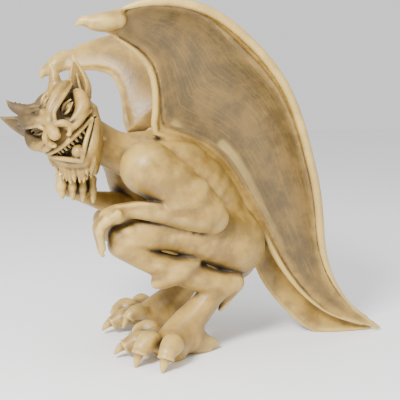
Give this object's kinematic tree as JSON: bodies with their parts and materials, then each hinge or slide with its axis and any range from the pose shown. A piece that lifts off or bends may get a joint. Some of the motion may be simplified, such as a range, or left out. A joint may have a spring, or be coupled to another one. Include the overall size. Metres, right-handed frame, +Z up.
{
  "type": "winged gargoyle figure",
  "caption": "Crouching winged gargoyle with a horned, grinning head, resting its chin on one hand; it stands on its clawed feet and on the lower ends of its raised wings.",
  "frame": {"origin": "on the ground, under the middle of the figure's outer box", "axes": "+Z up; -Y is the way the crouching body faces; +X is the figure's own left side, towards which the head is turned"},
  "size_m": [0.2388, 0.4816, 0.4153],
  "materials": {
    "aged_stone": "cast stone with an antique ochre finish: pale gold on the raised forms, dark brown in the hollows"
  },
  "bodies": {
    "root": {"gargoyle": "aged_stone"}
  },
  "joints": []
}
